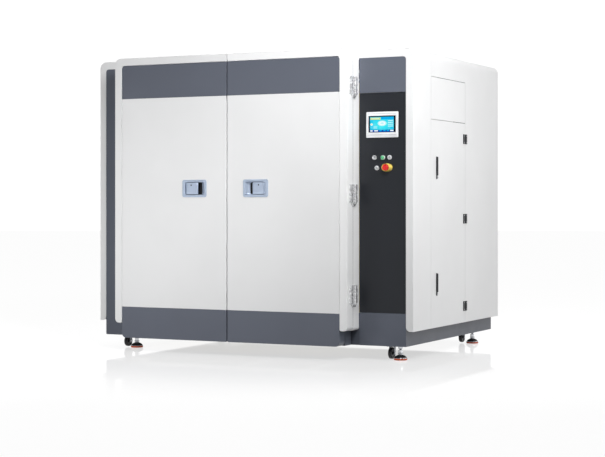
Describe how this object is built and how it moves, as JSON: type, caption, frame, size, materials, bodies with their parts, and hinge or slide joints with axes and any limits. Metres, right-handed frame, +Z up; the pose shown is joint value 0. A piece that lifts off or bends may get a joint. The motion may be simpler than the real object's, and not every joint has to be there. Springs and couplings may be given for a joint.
{
  "type": "environmental test chamber",
  "caption": "Free-standing double-door temperature and humidity test chamber with insulated working space, side control column, side access door, levelling feet and casters.",
  "frame": {"origin": "on the floor, under the centre of the overall box", "axes": "+Z up; the doors and control panel face -Y; +X is to the right seen from the front"},
  "size_m": [2.382, 1.837, 2],
  "materials": {
    "bezel_plastic": "light grey moulding",
    "black_metal": "black coated zinc",
    "black_paint": "satin powder coat",
    "blue_grey_paint": "satin powder coat",
    "button_white": "pale button cap",
    "caster_tyre": "black tread",
    "compressor_paint": "black enamel",
    "copper": "copper pipe",
    "display_glass": "lit display behind a clear cover",
    "electric_parts": "grey housings on a galvanised plate",
    "fan_metal": "cast and pressed aluminium",
    "fan_plastic": "black moulding",
    "foam": "rigid foam with sheet skins",
    "foot_metal": "steel stud, black dome and orange-red rubber pad",
    "frame_paint": "satin powder coat on welded steel",
    "galvanised": "galvanised sheet",
    "green_plastic": "green",
    "hinge_metal": "satin chrome plated casting",
    "latch_metal": "satin bluish steel",
    "motor_paint": "enamelled motor housing",
    "red_plastic": "red",
    "seal_rubber": "soft silicone seal",
    "silver_plastic": "silver",
    "stainless": "brushed stainless steel",
    "two_tone_paint": "white powder coat with blue-grey bands at top and bottom",
    "white_paint": "fine textured powder coat, satin",
    "yellow_plastic": "yellow"
  },
  "bodies": {
    "cabinet": {"steel_frame": "frame_paint", "front_hoop": "white_paint", "rear_shell": "white_paint", "side_panels": "white_paint", "rear_panel": "white_paint", "front_covers": "blue_grey_paint", "control_panel": "black_paint", "door_frame": "white_paint", "door_seal": "seal_rubber", "inner_liner": "stainless", "insulation_slabs": "foam", "air_baffle": "stainless", "shelves": "stainless", "fan_motor": "motor_paint", "heater_elements": "stainless", "evaporator": "fan_metal", "compressors": "compressor_paint", "refrigerant_pipes": "copper", "condenser": "fan_metal", "electrical_components": "electric_parts", "frame_hinge_halves": "hinge_metal", "cabinet_hinge_halves": "black_metal", "touchscreen_bezel": "bezel_plastic", "touchscreen_display": "display_glass", "switch_collars": "silver_plastic", "estop_guard": "yellow_plastic", "caster_brackets": "galvanised"},
    "left_door": {"left_door_border": "white_paint", "left_door_panel": "two_tone_paint", "left_door_plug": "stainless", "left_door_hinge_halves": "hinge_metal", "left_latch_dish": "latch_metal"},
    "left_latch": {"left_latch_paddle": "latch_metal"},
    "right_door": {"right_door_border": "white_paint", "right_door_panel": "two_tone_paint", "right_door_plug": "stainless", "right_door_hinge_halves": "hinge_metal", "right_latch_dish": "latch_metal"},
    "right_latch": {"right_latch_paddle": "latch_metal"},
    "side_access_door": {"access_door": "white_paint", "access_door_hinge_halves": "black_metal", "handle_bases": "black_metal"},
    "upper_handle": {"upper_swing_handle": "black_metal"},
    "lower_handle": {"lower_swing_handle": "black_metal"},
    "button_left_cap": {"button_left": "button_white"},
    "button_right_cap": {"button_right": "button_white"},
    "button_lower_cap": {"button_lower": "button_white"},
    "selector": {"selector_switch": "green_plastic"},
    "estop": {"estop_button": "red_plastic"},
    "foot_front_right": {"levelling_foot_front_right": "foot_metal"},
    "foot_front_left": {"levelling_foot_front_left": "foot_metal"},
    "foot_rear_right": {"levelling_foot_rear_right": "foot_metal"},
    "foot_rear_left": {"levelling_foot_rear_left": "foot_metal"},
    "wheel_front_right": {"caster_wheel_front_right": "caster_tyre"},
    "wheel_front_left": {"caster_wheel_front_left": "caster_tyre"},
    "wheel_rear_right": {"caster_wheel_rear_right": "caster_tyre"},
    "wheel_rear_left": {"caster_wheel_rear_left": "caster_tyre"},
    "circulation_rotor": {"circulation_fan": "fan_metal"},
    "condenser_rotor": {"condenser_fan": "fan_plastic"}
  },
  "joints": [
    {"name": "right_door_hinge", "type": "hinge", "parent": "cabinet", "child": "right_door", "pos_m": [0.816, -0.825, 1.06], "axis": [0, 0, 1], "range_deg": [0, 110]},
    {"name": "left_door_hinge", "type": "hinge", "parent": "cabinet", "child": "left_door", "pos_m": [-0.964, -0.825, 1.06], "axis": [0, 0, -1], "range_deg": [0, 110]},
    {"name": "right_latch_pivot", "type": "hinge", "parent": "right_door", "child": "right_latch", "pos_m": [0.2055, -0.9055, 1.108], "axis": [0, 0, 1], "range_deg": [0, 35], "stiffness_Nm_per_rad": 1.5},
    {"name": "left_latch_pivot", "type": "hinge", "parent": "left_door", "child": "left_latch", "pos_m": [-0.3845, -0.9055, 1.108], "axis": [0, 0, -1], "range_deg": [0, 35], "stiffness_Nm_per_rad": 1.5},
    {"name": "access_door_hinge", "type": "hinge", "parent": "cabinet", "child": "side_access_door", "pos_m": [1.186, 0.215, 0.903], "axis": [0, 0, 1], "range_deg": [0, 110]},
    {"name": "upper_handle_turn", "type": "hinge", "parent": "side_access_door", "child": "upper_handle", "pos_m": [1.1875, -0.3245, 1.3], "axis": [1, 0, 0], "range_deg": [0, 90]},
    {"name": "lower_handle_turn", "type": "hinge", "parent": "side_access_door", "child": "lower_handle", "pos_m": [1.1875, -0.3245, 0.53], "axis": [1, 0, 0], "range_deg": [0, 90]},
    {"name": "button_left_press", "type": "slide", "parent": "cabinet", "child": "button_left_cap", "axis": [0, 1, 0], "range_m": [0, 0.004], "stiffness_N_per_m": 400},
    {"name": "button_right_press", "type": "slide", "parent": "cabinet", "child": "button_right_cap", "axis": [0, 1, 0], "range_m": [0, 0.004], "stiffness_N_per_m": 400},
    {"name": "button_lower_press", "type": "slide", "parent": "cabinet", "child": "button_lower_cap", "axis": [0, 1, 0], "range_m": [0, 0.004], "stiffness_N_per_m": 400},
    {"name": "selector_turn", "type": "hinge", "parent": "cabinet", "child": "selector", "pos_m": [0.972, -0.7445, 1.303], "axis": [0, 1, 0], "range_deg": [-45, 45]},
    {"name": "estop_press", "type": "slide", "parent": "cabinet", "child": "estop", "axis": [0, 1, 0], "range_m": [0, 0.005]},
    {"name": "foot_front_right_screw", "type": "slide", "parent": "cabinet", "child": "foot_front_right", "axis": [0, 0, 1], "range_m": [-0.025, 0]},
    {"name": "foot_front_left_screw", "type": "slide", "parent": "cabinet", "child": "foot_front_left", "axis": [0, 0, 1], "range_m": [-0.025, 0]},
    {"name": "foot_rear_right_screw", "type": "slide", "parent": "cabinet", "child": "foot_rear_right", "axis": [0, 0, 1], "range_m": [-0.025, 0]},
    {"name": "foot_rear_left_screw", "type": "slide", "parent": "cabinet", "child": "foot_rear_left", "axis": [0, 0, 1], "range_m": [-0.025, 0]},
    {"name": "wheel_front_right_spin", "type": "hinge", "parent": "cabinet", "child": "wheel_front_right", "pos_m": [1.003, -0.6605, 0.0425], "axis": [1, 0, 0], "continuous": true},
    {"name": "wheel_front_left_spin", "type": "hinge", "parent": "cabinet", "child": "wheel_front_left", "pos_m": [-1.015, -0.6425, 0.0425], "axis": [1, 0, 0], "continuous": true},
    {"name": "wheel_rear_right_spin", "type": "hinge", "parent": "cabinet", "child": "wheel_rear_right", "pos_m": [0.981, 0.6875, 0.0425], "axis": [1, 0, 0], "continuous": true},
    {"name": "wheel_rear_left_spin", "type": "hinge", "parent": "cabinet", "child": "wheel_rear_left", "pos_m": [-1.015, 0.6875, 0.0425], "axis": [1, 0, 0], "continuous": true},
    {"name": "circulation_fan_spin", "type": "hinge", "parent": "cabinet", "child": "circulation_rotor", "pos_m": [-0.074, 0.0975, 1.3], "axis": [0, 1, 0], "continuous": true},
    {"name": "condenser_fan_spin", "type": "hinge", "parent": "cabinet", "child": "condenser_rotor", "pos_m": [-0.505, 0.8575, 1], "axis": [0, 1, 0], "continuous": true}
  ]
}
